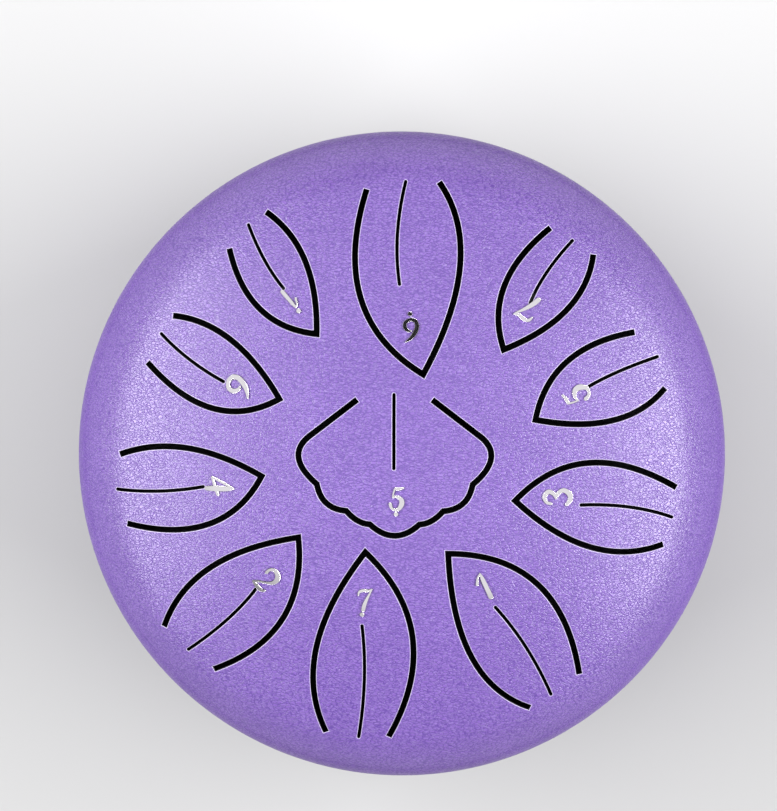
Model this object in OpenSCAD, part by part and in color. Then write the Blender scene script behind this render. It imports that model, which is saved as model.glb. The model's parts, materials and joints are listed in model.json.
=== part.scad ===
// Steel tongue drum: two pressed steel shells welded into one lens, with eleven sprung
// tongues cut in the playing face, a number on each tongue, a tuning magnet under each
// and three rubber feet below.
// The origin is on the table under the drum's centre. +Z is up, +Y points away from the
// player and +X to the player's right.

/* [Drum] */
// Outer diameter of the drum
drum_d = 155; // [140:1:175]
// Thickness of the steel sheet
sheet = 1.4; // [1:0.1:1.8]
// Radius of the playing face's crown
crown_r = 150; // [130:1:200]
// Radius of the rounded shoulder between crown and rim
shoulder_r = 24; // [18:1:30]
// Height of the straight rim under the shoulder
top_rim_h = 3; // [2:0.5:8]
// Radius of the rounded side of the bowl
bowl_r = 34; // [28:1:40]
// Height of the straight rim above the rounded side of the bowl
bowl_rim_h = 6; // [3:0.5:12]
// Diameter of the sound hole in the base
sound_hole_d = 36; // [24:1:42]

/* [Slots] */
// Width of the slot round each tongue
slot_w = 1.3; // [0.8:0.1:1.6]
// Width of the thin relief slot along the middle of each tongue
vein_w = 0.7; // [0.4:0.1:1]

/* [Seam] */
// Depth of the weld in the joint between the two shells
weld_depth = 0.6; // [0.3:0.1:0.8]

/* [Numbers] */
// Height of a digit
number_h = 6.8; // [5:0.1:8]
// Thickness of the metal digits
number_t = 0.3; // [0.2:0.05:0.6]

/* [Tuning magnets] */
// Diameter of a magnet
magnet_d = 8; // [5:0.5:9]
// Thickness of a magnet
magnet_t = 3; // [1:0.5:4]

/* [Feet] */
// Diameter of a foot's pad
foot_d = 14; // [10:0.5:16]
// Height of a foot's pad, from the table to the base of the drum
foot_h = 5; // [3:0.5:8]
// Radius of the rounding round the pad's lower edge
foot_round = 1.2; // [0.5:0.1:2]
// Diameter of the stem pushed through the base
foot_stem_d = 5; // [4:0.5:6]
// Diameter of the head that holds the stem inside
foot_head_d = 7.5; // [7:0.5:9]
// Height of that head
foot_head_h = 2.5; // [1.5:0.5:4]

/* [Fits] */
// Hairline left where a tongue springs from the shell
root_gap = 0.03; // [0.02:0.01:0.06]
// Glue line under a digit, and the air between a magnet's edge and the curved steel
glue_gap = 0.03; // [0.02:0.01:0.06]
// Air all round the weld bead
weld_gap = 0.02; // [0.01:0.01:0.05]
// Air all round a foot's stem
stem_gap = 0.1; // [0.05:0.05:0.2]

/* [Hidden] */
NOTES = ["low_5", "low_6", "low_7", "mid_1", "mid_2", "mid_3", "mid_4", "mid_5", "mid_6", "mid_7", "high_1"];
FEET = ["foot_front", "foot_right", "foot_left"];
foot_bearings = [-90, 30, 150];

paint = "#9379d0";
nickel = "#dcdce2";
magnet_grey = "#a9abb0";
rubber = "#26262a";

// Depth that every cut runs past the surface it leaves
overrun = 1;
// Amount by which the shoulder's arc crosses the lines that it meets
arc_overlap = 0.004;
$fn = 180;
// Straight steps along one side of a leaf, along one lobe of the shell-shaped tongue,
// along one span of a digit's pen line and round the end of that line
side_steps = 14;
lobe_steps = 6;
pen_steps = 4;
cap_steps = 4;

// Heights and radii that follow from the driving sizes
drum_r = drum_d / 2;
seam_z = foot_h + bowl_r + bowl_rim_h;
shoulder_z = seam_z + top_rim_h;
shoulder_angle = asin((drum_r - shoulder_r) / (crown_r - shoulder_r));
crown_centre_z = shoulder_z - (crown_r - shoulder_r) * cos(shoulder_angle);
crown_z = crown_centre_z + crown_r;
base_flat_r = drum_r - bowl_r;
foot_ring_r = (base_flat_r + sound_hole_d / 2) / 2;

// Direction from the drum's centre to the root of each tongue, in the order of NOTES
bearings = [90, 89, -98, -56.5, -138.5, -11, -174.5, 23, 151, 52.5, 122];

// Places on a tongue are [out, across]: out runs from the drum's centre towards the root
// and across runs to its left. They are shares of the drum's radius.
// A leaf is left root, left belly, tip, right belly, right root, from low_6 onwards.
leaf_shares = [
    [[0.82, 0.11], [0.45, 0.215], [0.285, -0.07], [0.64, -0.255], [0.845, -0.105]],
    [[0.82, 0.085], [0.45, 0.215], [0.25, -0.06], [0.59, -0.25], [0.835, -0.105]],
    [[0.825, 0.105], [0.47, 0.265], [0.285, -0.01], [0.625, -0.215], [0.83, -0.075]],
    [[0.83, 0.095], [0.525, 0.195], [0.35, -0.045], [0.635, -0.22], [0.86, -0.1]],
    [[0.825, 0.095], [0.505, 0.215], [0.355, -0.02], [0.62, -0.19], [0.82, -0.08]],
    [[0.83, 0.1], [0.535, 0.185], [0.4, -0.02], [0.62, -0.17], [0.83, -0.11]],
    [[0.8, 0.095], [0.55, 0.16], [0.43, -0.02], [0.655, -0.175], [0.82, -0.095]],
    [[0.805, 0.095], [0.525, 0.18], [0.405, -0.015], [0.63, -0.145], [0.805, -0.065]],
    [[0.835, 0.075], [0.585, 0.14], [0.47, -0.03], [0.69, -0.165], [0.85, -0.075]],
    [[0.815, 0.085], [0.59, 0.155], [0.465, -0.01], [0.675, -0.145], [0.85, -0.065]]
];
// Left half of the shell-shaped tongue low_5: its root, the end of the straight flank,
// then the belly and the end of each lobe, up to the belly of the lobe at the tip
shell_shares = [
    [0.21, 0.11], [0.1, 0.253], [0.041, 0.322], [-0.038, 0.228], [-0.111, 0.215],
    [-0.116, 0.142], [-0.154, 0.109], [-0.155, 0.073], [-0.223, 0]
];
// The shell-shaped tongue's middle line stands this far left of the drum's centre
shell_across_share = 0.008;
// Outer end, belly and inner end of each vein, in the order of NOTES
vein_shares = [
    [[0.225, 0.01], [0.12, 0.01], [0.01, 0.01]],
    [[0.845, -0.005], [0.685, 0.03], [0.545, 0.005]],
    [[0.835, -0.005], [0.635, 0], [0.475, -0.04]],
    [[0.83, 0], [0.655, 0.035], [0.5, 0.015]],
    [[0.85, 0], [0.675, 0.015], [0.555, -0.01]],
    [[0.83, 0.005], [0.7, 0.03], [0.55, 0]],
    [[0.85, -0.005], [0.715, 0.015], [0.58, 0]],
    [[0.835, 0], [0.7, 0.015], [0.61, 0.005]],
    [[0.81, 0], [0.7, 0.03], [0.575, 0.025]],
    [[0.845, 0], [0.715, 0.015], [0.625, -0.01]],
    [[0.845, 0], [0.72, 0.02], [0.63, 0.005]]
];
// Middle of each digit, with the magnet straight below it
spot_shares = [
    [-0.08, 0.002], [0.415, -0.03], [0.395, -0.04], [0.425, 0.025], [0.51, -0.01], [0.475, 0.01],
    [0.53, 0.005], [0.57, -0.005], [0.53, 0.015], [0.612, -0.015], [0.592, 0.005]
];
// How far each digit is turned from the line that runs to the drum's centre
digit_turns = [178, 3, -6, -12, 13, 10, 0, 6, 4, -14, 6];
// Height of each digit, as a share of number_h
digit_size_shares = [0.81, 0.83, 0.83, 1.03, 1, 1, 1, 0.95, 0.96, 1, 0.83];
digits = [5, 6, 7, 1, 2, 3, 4, 5, 6, 7, 1];
// A low note has its dot below the digit, the high note above and the others none
dots = [-1, -1, -1, 0, 0, 0, 0, 0, 0, 0, 1];

// Pen lines of each digit as [across, up, half the line's width], in shares of its height
one_shares = [
    [[0.01, 0.46, 0.025], [0.02, 0.25, 0.07], [0.04, -0.1, 0.08], [0.06, -0.45, 0.085]],
    [[0.01, 0.46, 0.025], [-0.12, 0.33, 0.04], [-0.21, 0.13, 0.055]]
];
two_shares = [
    [[-0.15, 0.24, 0.06], [-0.12, 0.38, 0.05], [0, 0.47, 0.065], [0.19, 0.42, 0.09],
        [0.28, 0.26, 0.095], [0.23, 0.07, 0.07], [0.03, -0.08, 0.04], [-0.17, -0.18, 0.04],
        [-0.35, -0.31, 0.04]],
    [[-0.35, -0.31, 0.04], [-0.15, -0.37, 0.07], [0.04, -0.4, 0.07], [0.16, -0.34, 0.035]]
];
three_shares = [
    [[-0.2, 0.21, 0.055], [-0.15, 0.37, 0.06], [0.03, 0.45, 0.075], [0.21, 0.33, 0.08],
        [0.14, 0.14, 0.07], [-0.03, 0.05, 0.035]],
    [[-0.03, 0.05, 0.035], [0.15, -0.02, 0.07], [0.25, -0.21, 0.08], [0.12, -0.42, 0.095],
        [-0.08, -0.45, 0.085], [-0.24, -0.32, 0.06]]
];
four_shares = [
    [[0.07, 0.5, 0.035], [0.06, 0.27, 0.08], [0.02, -0.14, 0.095], [-0.01, -0.47, 0.075]],
    [[0.07, 0.5, 0.035], [-0.15, 0.16, 0.04], [-0.37, -0.22, 0.035]],
    [[-0.37, -0.22, 0.04], [-0.1, -0.16, 0.05], [0.23, -0.08, 0.055]]
];
five_shares = [
    [[-0.05, 0.44, 0.06], [0.1, 0.43, 0.07], [0.28, 0.48, 0.04]],
    [[-0.07, 0.45, 0.045], [-0.13, 0.27, 0.04], [-0.16, 0.07, 0.035]],
    [[-0.16, 0.07, 0.035], [0.01, 0.11, 0.06], [0.19, 0, 0.1], [0.22, -0.19, 0.11],
        [0.1, -0.4, 0.085], [-0.07, -0.44, 0.06], [-0.2, -0.36, 0.065], [-0.25, -0.21, 0.08]]
];
six_shares = [
    [[0.22, 0.52, 0.03], [0.02, 0.39, 0.07], [-0.16, 0.18, 0.095], [-0.27, -0.09, 0.095],
        [-0.23, -0.31, 0.085]],
    [[-0.23, -0.31, 0.085], [-0.04, -0.39, 0.075], [0.18, -0.29, 0.08], [0.22, -0.08, 0.085],
        [0.09, 0.07, 0.065], [-0.03, 0.07, 0.035]]
];
seven_shares = [
    [[-0.33, 0.15, 0.04], [-0.33, 0.31, 0.055], [-0.19, 0.41, 0.07], [0.01, 0.45, 0.06],
        [0.15, 0.56, 0.03]],
    [[0.14, 0.52, 0.03], [0.05, 0.16, 0.06], [0, -0.16, 0.085], [0, -0.42, 0.085]]
];
digit_shares = [one_shares, two_shares, three_shares, four_shares, five_shares, six_shares, seven_shares];
// Half width of a dot and its distance from the middle of the digit, in the same shares
dot_size_share = 0.1;
dot_place_share = 0.62;

// Curves and offsets in the plan

function bent(a, belly, b, t) = (1 - t) * (1 - t) * a + 2 * t * (1 - t) * belly + t * t * b;

// Points along a bent line, without its first point
function bent_line(a, belly, b, steps) = [for (i = [1:steps]) bent(a, belly, b, i / steps)];

function leaf_path(leaf) = concat(
    [leaf[0]],
    bent_line(leaf[0], leaf[1], leaf[2], side_steps),
    bent_line(leaf[2], leaf[3], leaf[4], side_steps)
);

// The shell-shaped tongue: a straight flank, a shoulder and two lobes on the left, a lobe
// at the tip, and the same again in reverse on the right
function flip(p) = [p.x, -p.y];
function shell_left(s) = concat(
    [s[0], s[1]],
    bent_line(s[1], s[2], s[3], 2 * lobe_steps),
    bent_line(s[3], s[4], s[5], lobe_steps),
    bent_line(s[5], s[6], s[7], lobe_steps)
);
function shell_path(s) = concat(
    shell_left(s),
    bent_line(s[7], s[8], flip(s[7]), lobe_steps),
    [for (i = [len(shell_left(s)) - 2:-1:0]) flip(shell_left(s)[i])]
);

function tongue_path(i) = drum_r * (
    i == 0
    ? [for (p = shell_path(shell_shares)) p + [0, shell_across_share]]
    : leaf_path(leaf_shares[i - 1])
);

function unit(v) = v / norm(v);
function right_of(a, b) = let(d = unit(b - a)) [d.y, -d.x];

// The path moved sideways, to the right where shift is above zero, with mitred corners
function rail(path, shift) = [
    for (i = [0:len(path) - 1])
        let(
            before = i > 0 ? right_of(path[i - 1], path[i]) : right_of(path[0], path[1]),
            after = i < len(path) - 1 ? right_of(path[i], path[i + 1]) : before
        )
        path[i] + shift * (before + after) / (1 + before * after)
];

// The same path with both of its ends drawn back by a gap
function drawn_back(path, gap) = let(last = len(path) - 1) concat(
    [path[0] + gap * unit(path[1] - path[0])],
    [for (i = [1:last - 1]) path[i]],
    [path[last] + gap * unit(path[last - 1] - path[last])]
);

// Outline of the opening in the shell: the slot and the tongue together
function opening_outline(path) = let(inner = rail(path, -slot_w / 2)) concat(
    rail(path, slot_w / 2),
    [inner[len(inner) - 1], inner[0]]
);

function tongue_outline(path) = rail(drawn_back(path, root_gap), -slot_w / 2);

// Pen lines with a changing width

// One span of a smooth line through p, between q and r, on the way to s
function span(p, q, r, s, t) = (
    2 * q + (r - p) * t + (2 * p - 5 * q + 4 * r - s) * t * t + (3 * q - p - 3 * r + s) * t * t * t
) / 2;
function smooth(line) = let(last = len(line) - 1) concat(
    [for (i = [0:last - 1], k = [0:pen_steps - 1])
        span(line[max(i - 1, 0)], line[i], line[i + 1], line[min(i + 2, last)], k / pen_steps)],
    [line[last]]
);
function flat(p) = [p.x, p.y];
function heading(line, i) = let(
    a = flat(line[max(i - 1, 0)]),
    b = flat(line[min(i + 1, len(line) - 1)])
) atan2(b.y - a.y, b.x - a.x);
function reach(p, angle) = flat(p) + p.z * [cos(angle), sin(angle)];
// Half a turn round the end of a pen line, from its right side to its left
function cap(p, angle) = [for (k = [1:cap_steps - 1]) reach(p, angle - 90 + 180 * k / cap_steps)];

// Closed outline of one pen line: right side, end, left side, start
function pen_outline(line) = let(last = len(line) - 1) concat(
    [for (i = [0:last]) reach(line[i], heading(line, i) - 90)],
    cap(line[last], heading(line, last)),
    [for (i = [last:-1:0]) reach(line[i], heading(line, i) + 90)],
    cap(line[0], heading(line, 0) + 180)
);

// Shells

// Half section of a torispherical head, thinner than the outside by inset. The shoulder
// stands proud by arc_overlap, so that it crosses the crown and the rim and has no step
// where it runs into them.
module head_section(inset) {
    intersection() {
        union() {
            square([(crown_r - inset) * sin(shoulder_angle), crown_z]);
            translate([drum_r - shoulder_r, shoulder_z]) circle(r = shoulder_r - inset + arc_overlap);
        }
        translate([0, crown_centre_z]) circle(r = crown_r - inset);
        translate([0, shoulder_z]) square([drum_r - inset, crown_z]);
    }
    translate([0, seam_z]) square([drum_r - inset, top_rim_h]);
}

module head_skin() {
    rotate_extrude() difference() {
        head_section(0);
        head_section(sheet);
        translate([0, seam_z - overrun]) square([drum_r - sheet, 2 * overrun]);
        seam_groove();
    }
}

// Half section of the bowl, with its flat base
module bowl_section(inset) {
    bowl_centre_z = seam_z - bowl_rim_h;
    intersection() {
        translate([base_flat_r, bowl_centre_z]) circle(r = bowl_r - inset);
        square([drum_r, bowl_centre_z]);
    }
    translate([0, foot_h + inset]) square([base_flat_r, bowl_centre_z - foot_h - inset]);
    translate([0, bowl_centre_z]) square([drum_r - inset, bowl_rim_h]);
}

// Square groove stood on its corner, cut half from each shell's edge
module seam_groove() {
    translate([drum_r, seam_z]) rotate(45) square(weld_depth * sqrt(2), center = true);
}

// Plan of a vein: a thin slot with round ends
module vein_plan(i) {
    ends = drum_r * vein_shares[i];
    path = concat([ends[0]], bent_line(ends[0], ends[1], ends[2], lobe_steps));
    polygon(pen_outline([for (p = path) [p.x, p.y, vein_w / 2]]));
}

// Upright block that cuts a plan out of the playing face
module through_face() {
    translate([0, 0, seam_z]) linear_extrude(crown_z - seam_z + overrun) children();
}

module top_shell() {
    color(paint) difference() {
        head_skin();
        through_face() for (i = [0:len(NOTES) - 1]) {
            rotate(bearings[i]) {
                polygon(opening_outline(tongue_path(i)));
                vein_plan(i);
            }
        }
    }
}

module bottom_shell() {
    color(paint) difference() {
        rotate_extrude() difference() {
            bowl_section(0);
            bowl_section(sheet);
            translate([0, seam_z - overrun]) square([drum_r - sheet, 2 * overrun]);
            seam_groove();
        }
        translate([0, 0, foot_h - overrun]) cylinder(d = sound_hole_d, h = sheet + 2 * overrun);
        for (bearing = foot_bearings) {
            rotate(bearing) translate([foot_ring_r, 0, foot_h - overrun])
                cylinder(d = foot_stem_d + 2 * stem_gap, h = sheet + 2 * overrun);
        }
    }
}

// Weld bead that fills the groove and is ground flush with the rim
module seam_weld() {
    bead = weld_depth - weld_gap;
    color(paint) rotate_extrude() translate([drum_r, seam_z])
        polygon([[-bead, 0], [-weld_gap, weld_gap - bead], [-weld_gap, bead - weld_gap]]);
}

// What each tongue carries

module tongue(i) {
    color(paint) intersection() {
        head_skin();
        through_face() rotate(bearings[i]) difference() {
            polygon(tongue_outline(tongue_path(i)));
            vein_plan(i);
        }
    }
}

// Stands its children on the crown's centre with +Z square to the playing face at spot
module square_to_crown(spot) {
    bearing = atan2(spot.y, spot.x);
    translate([0, 0, crown_centre_z])
        rotate(bearing) rotate([0, asin(norm(spot) / crown_r), 0]) rotate(-bearing) children();
}

module digit(value, height) {
    for (line = digit_shares[value - 1]) polygon(height * pen_outline(smooth(line)));
}

module number(i) {
    under_r = crown_r + glue_gap;
    height = number_h * digit_size_shares[i];
    color(nickel) rotate(bearings[i]) square_to_crown(drum_r * spot_shares[i]) intersection() {
        difference() {
            sphere(r = under_r + number_t);
            sphere(r = under_r);
        }
        translate([0, 0, crown_r - overrun]) rotate(90 + digit_turns[i])
            linear_extrude(number_t + 2 * overrun) {
                digit(digits[i], height);
                if (dots[i] != 0) {
                    translate([0, height * dot_place_share * dots[i]])
                        circle(r = height * dot_size_share);
                }
            }
    }
}

// A disc held by its own pull: only its upper edge meets the hollow side of the tongue
module magnet(i) {
    under_r = crown_r - sheet - glue_gap;
    face = sqrt(under_r * under_r - magnet_d * magnet_d / 4);
    color(magnet_grey) rotate(bearings[i]) square_to_crown(drum_r * spot_shares[i])
        translate([0, 0, face - magnet_t]) cylinder(d = magnet_d, h = magnet_t);
}

// Push-in foot: pad, stem through the base and the head that holds it
module foot(i) {
    pad_r = foot_d / 2;
    color(rubber) rotate(foot_bearings[i]) translate([foot_ring_r, 0, 0]) {
        rotate_extrude() {
            translate([pad_r - foot_round, foot_round]) circle(r = foot_round);
            square([pad_r - foot_round, foot_round]);
            translate([0, foot_round]) square([pad_r, foot_h - foot_round]);
        }
        translate([0, 0, foot_h - foot_round]) cylinder(d = foot_stem_d, h = foot_round + sheet + foot_head_h);
        translate([0, 0, foot_h + sheet])
            cylinder(d1 = foot_head_d, d2 = foot_stem_d, h = foot_head_h);
    }
}

top_shell();
bottom_shell();
seam_weld();
for (i = [0:len(NOTES) - 1]) {
    tongue(i);
    number(i);
    magnet(i);
}
for (i = [0:len(FEET) - 1]) {
    foot(i);
}
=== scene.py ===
import json
import math

import bpy
import numpy as np
from mathutils import Matrix, Vector
from mathutils.geometry import delaunay_2d_cdt

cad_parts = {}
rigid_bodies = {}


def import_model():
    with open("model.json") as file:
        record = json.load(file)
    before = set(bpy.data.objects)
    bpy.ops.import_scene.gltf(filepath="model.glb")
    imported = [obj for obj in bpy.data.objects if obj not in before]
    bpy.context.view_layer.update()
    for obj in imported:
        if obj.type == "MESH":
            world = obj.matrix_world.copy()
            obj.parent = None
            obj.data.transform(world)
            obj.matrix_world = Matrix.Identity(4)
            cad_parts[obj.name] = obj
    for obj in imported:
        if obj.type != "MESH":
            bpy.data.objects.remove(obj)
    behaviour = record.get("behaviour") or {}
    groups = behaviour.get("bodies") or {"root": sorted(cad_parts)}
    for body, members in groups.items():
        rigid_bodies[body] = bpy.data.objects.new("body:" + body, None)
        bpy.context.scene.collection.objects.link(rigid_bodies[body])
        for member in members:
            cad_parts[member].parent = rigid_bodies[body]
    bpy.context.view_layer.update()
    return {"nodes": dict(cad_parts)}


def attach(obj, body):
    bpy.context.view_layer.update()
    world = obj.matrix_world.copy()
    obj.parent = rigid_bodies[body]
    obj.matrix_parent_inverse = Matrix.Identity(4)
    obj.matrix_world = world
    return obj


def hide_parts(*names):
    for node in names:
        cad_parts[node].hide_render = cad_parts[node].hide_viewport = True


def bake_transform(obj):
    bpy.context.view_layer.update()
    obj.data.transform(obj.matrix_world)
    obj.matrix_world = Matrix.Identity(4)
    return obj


# A small steel tongue drum: two pressed shells in purple powder coat, eleven sprung tongues,
# a nickel digit on each, tuning magnets under them and three rubber feet.
# Sizes are in millimetres until a mesh is made. They are those of the CAD source.

for leftover in list(bpy.data.objects):
    bpy.data.objects.remove(leftover)
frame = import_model()

MM = 0.001

DRUM_R = 77.5
SHEET = 1.4
CROWN_R = 150
SHOULDER_R = 24
TOP_RIM_H = 3
BOWL_R = 34
BOWL_RIM_H = 6
SOUND_HOLE_R = 18
SLOT_W = 1.3
VEIN_W = 0.7
WELD_DEPTH = 0.6
NUMBER_H = 6.8
NUMBER_T = 0.3
MAGNET_R = 4
MAGNET_T = 3
GLUE_GAP = 0.03
FOOT_R = 7
FOOT_H = 5
FOOT_ROUND = 1.2
FOOT_STEM_R = 2.5
STEM_GAP = 0.1
FOOT_HEAD_R = 3.75
FOOT_HEAD_H = 2.5

SEAM_Z = FOOT_H + BOWL_R + BOWL_RIM_H
SHOULDER_Z = SEAM_Z + TOP_RIM_H
SHOULDER_MID_R = DRUM_R - SHOULDER_R
SHOULDER_ANGLE = math.asin(SHOULDER_MID_R / (CROWN_R - SHOULDER_R))
CROWN_CENTRE_Z = SHOULDER_Z - (CROWN_R - SHOULDER_R) * math.cos(SHOULDER_ANGLE)
BASE_FLAT_R = DRUM_R - BOWL_R
FOOT_RING_R = (BASE_FLAT_R + SOUND_HOLE_R) / 2
FOOT_BEARINGS = {"foot_front": -90, "foot_right": 30, "foot_left": 150}

# Rounding of the painted edges along the slots, and of the edges of the digits
PAINT_EDGE = 0.2
DIGIT_EDGE = 0.09

NOTES = [
    "low_5", "low_6", "low_7", "mid_1", "mid_2", "mid_3", "mid_4", "mid_5", "mid_6", "mid_7",
    "high_1",
]
# Direction from the drum's centre to the root of each tongue
BEARINGS = [90, 89, -98, -56.5, -138.5, -11, -174.5, 23, 151, 52.5, 122]

# Places on a tongue are [out, across] in shares of the drum's radius: out runs towards the
# root and across to its left. A leaf is left root, left belly, tip, right belly, right root.
LEAVES = [
    [[0.82, 0.11], [0.45, 0.215], [0.285, -0.07], [0.64, -0.255], [0.845, -0.105]],
    [[0.82, 0.085], [0.45, 0.215], [0.25, -0.06], [0.59, -0.25], [0.835, -0.105]],
    [[0.825, 0.105], [0.47, 0.265], [0.285, -0.01], [0.625, -0.215], [0.83, -0.075]],
    [[0.83, 0.095], [0.525, 0.195], [0.35, -0.045], [0.635, -0.22], [0.86, -0.1]],
    [[0.825, 0.095], [0.505, 0.215], [0.355, -0.02], [0.62, -0.19], [0.82, -0.08]],
    [[0.83, 0.1], [0.535, 0.185], [0.4, -0.02], [0.62, -0.17], [0.83, -0.11]],
    [[0.8, 0.095], [0.55, 0.16], [0.43, -0.02], [0.655, -0.175], [0.82, -0.095]],
    [[0.805, 0.095], [0.525, 0.18], [0.405, -0.015], [0.63, -0.145], [0.805, -0.065]],
    [[0.835, 0.075], [0.585, 0.14], [0.47, -0.03], [0.69, -0.165], [0.85, -0.075]],
    [[0.815, 0.085], [0.59, 0.155], [0.465, -0.01], [0.675, -0.145], [0.85, -0.065]],
]
# Left half of the shell-shaped tongue: root, end of the flank, then belly and end of each lobe
SHELL = [
    [0.21, 0.11], [0.1, 0.253], [0.041, 0.322], [-0.038, 0.228], [-0.111, 0.215],
    [-0.116, 0.142], [-0.154, 0.109], [-0.155, 0.073], [-0.223, 0],
]
SHELL_ACROSS = 0.008
# Outer end, belly and inner end of each vein
VEINS = [
    [[0.225, 0.01], [0.12, 0.01], [0.01, 0.01]],
    [[0.845, -0.005], [0.685, 0.03], [0.545, 0.005]],
    [[0.835, -0.005], [0.635, 0], [0.475, -0.04]],
    [[0.83, 0], [0.655, 0.035], [0.5, 0.015]],
    [[0.85, 0], [0.675, 0.015], [0.555, -0.01]],
    [[0.83, 0.005], [0.7, 0.03], [0.55, 0]],
    [[0.85, -0.005], [0.715, 0.015], [0.58, 0]],
    [[0.835, 0], [0.7, 0.015], [0.61, 0.005]],
    [[0.81, 0], [0.7, 0.03], [0.575, 0.025]],
    [[0.845, 0], [0.715, 0.015], [0.625, -0.01]],
    [[0.845, 0], [0.72, 0.02], [0.63, 0.005]],
]
# Middle of each digit, its turn from the line to the drum's centre, and its size
SPOTS = [
    [-0.08, 0.002], [0.415, -0.03], [0.395, -0.04], [0.425, 0.025], [0.51, -0.01], [0.475, 0.01],
    [0.53, 0.005], [0.57, -0.005], [0.53, 0.015], [0.612, -0.015], [0.592, 0.005],
]
DIGIT_TURNS = [178, 3, -6, -12, 13, 10, 0, 6, 4, -14, 6]
DIGIT_SIZES = [0.81, 0.83, 0.83, 1.03, 1, 1, 1, 0.95, 0.96, 1, 0.83]
DIGITS = [5, 6, 7, 1, 2, 3, 4, 5, 6, 7, 1]
DOTS = [-1, -1, -1, 0, 0, 0, 0, 0, 0, 0, 1]
DOT_SIZE = 0.1
DOT_PLACE = 0.62
# Pen lines of each digit as [across, up, half the line's width], in shares of its height
PEN_LINES = {
    1: [
        [[0.01, 0.46, 0.025], [0.02, 0.25, 0.07], [0.04, -0.1, 0.08], [0.06, -0.45, 0.085]],
        [[0.01, 0.46, 0.025], [-0.12, 0.33, 0.04], [-0.21, 0.13, 0.055]],
    ],
    2: [
        [[-0.15, 0.24, 0.06], [-0.12, 0.38, 0.05], [0, 0.47, 0.065], [0.19, 0.42, 0.09],
         [0.28, 0.26, 0.095], [0.23, 0.07, 0.07], [0.03, -0.08, 0.04], [-0.17, -0.18, 0.04],
         [-0.35, -0.31, 0.04]],
        [[-0.35, -0.31, 0.04], [-0.15, -0.37, 0.07], [0.04, -0.4, 0.07], [0.16, -0.34, 0.035]],
    ],
    3: [
        [[-0.2, 0.21, 0.055], [-0.15, 0.37, 0.06], [0.03, 0.45, 0.075], [0.21, 0.33, 0.08],
         [0.14, 0.14, 0.07], [-0.03, 0.05, 0.035]],
        [[-0.03, 0.05, 0.035], [0.15, -0.02, 0.07], [0.25, -0.21, 0.08], [0.12, -0.42, 0.095],
         [-0.08, -0.45, 0.085], [-0.24, -0.32, 0.06]],
    ],
    4: [
        [[0.07, 0.5, 0.035], [0.06, 0.27, 0.08], [0.02, -0.14, 0.095], [-0.01, -0.47, 0.075]],
        [[0.07, 0.5, 0.035], [-0.15, 0.16, 0.04], [-0.37, -0.22, 0.035]],
        [[-0.37, -0.22, 0.04], [-0.1, -0.16, 0.05], [0.23, -0.08, 0.055]],
    ],
    5: [
        [[-0.05, 0.44, 0.06], [0.1, 0.43, 0.07], [0.28, 0.48, 0.04]],
        [[-0.07, 0.45, 0.045], [-0.13, 0.27, 0.04], [-0.16, 0.07, 0.035]],
        [[-0.16, 0.07, 0.035], [0.01, 0.11, 0.06], [0.19, 0, 0.1], [0.22, -0.19, 0.11],
         [0.1, -0.4, 0.085], [-0.07, -0.44, 0.06], [-0.2, -0.36, 0.065], [-0.25, -0.21, 0.08]],
    ],
    6: [
        [[0.22, 0.52, 0.03], [0.02, 0.39, 0.07], [-0.16, 0.18, 0.095], [-0.27, -0.09, 0.095],
         [-0.23, -0.31, 0.085]],
        [[-0.23, -0.31, 0.085], [-0.04, -0.39, 0.075], [0.18, -0.29, 0.08], [0.22, -0.08, 0.085],
         [0.09, 0.07, 0.065], [-0.03, 0.07, 0.035]],
    ],
    7: [
        [[-0.33, 0.15, 0.04], [-0.33, 0.31, 0.055], [-0.19, 0.41, 0.07], [0.01, 0.45, 0.06],
         [0.15, 0.56, 0.03]],
        [[0.14, 0.52, 0.03], [0.05, 0.16, 0.06], [0, -0.16, 0.085], [0, -0.42, 0.085]],
    ],
}


# Colours and node helper

def linear(code):
    """sRGB hex as the linear colour that a shader takes."""
    shares = [int(code[i:i + 2], 16) / 255 for i in (1, 3, 5)]
    return [s / 12.92 if s <= 0.04045 else ((s + 0.055) / 1.055) ** 2.4 for s in shares] + [1]


def add_node(tree, kind, settings=None, inputs=None, stops=()):
    """A new node with its settings, its inputs (a value or the socket that feeds it), and for a
    colour ramp its stops as (place, colour)."""
    made = tree.nodes.new(kind)
    for key, value in (settings or {}).items():
        setattr(made, key, value)
    for at, _ in stops[1:-1]:
        made.color_ramp.elements.new(at)
    for number, (at, code) in enumerate(stops):
        stop = made.color_ramp.elements[number]
        stop.position, stop.color = at, linear(code)
    for key, value in (inputs or {}).items():
        if isinstance(value, bpy.types.NodeSocket):
            tree.links.new(value, made.inputs[key])
        else:
            made.inputs[key].default_value = value
    return made


def blank_material(name):
    """A material with no nodes but the places on the object that its patterns follow."""
    material = bpy.data.materials.new(name)
    material.use_nodes = True
    tree = material.node_tree
    tree.nodes.clear()
    place = add_node(tree, "ShaderNodeTexCoord").outputs["Object"]
    return material, tree, place


def per_mm(size):
    """Scale of a pattern in object space whose cells are this many millimetres across."""
    return 1 / (size * MM)


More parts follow.
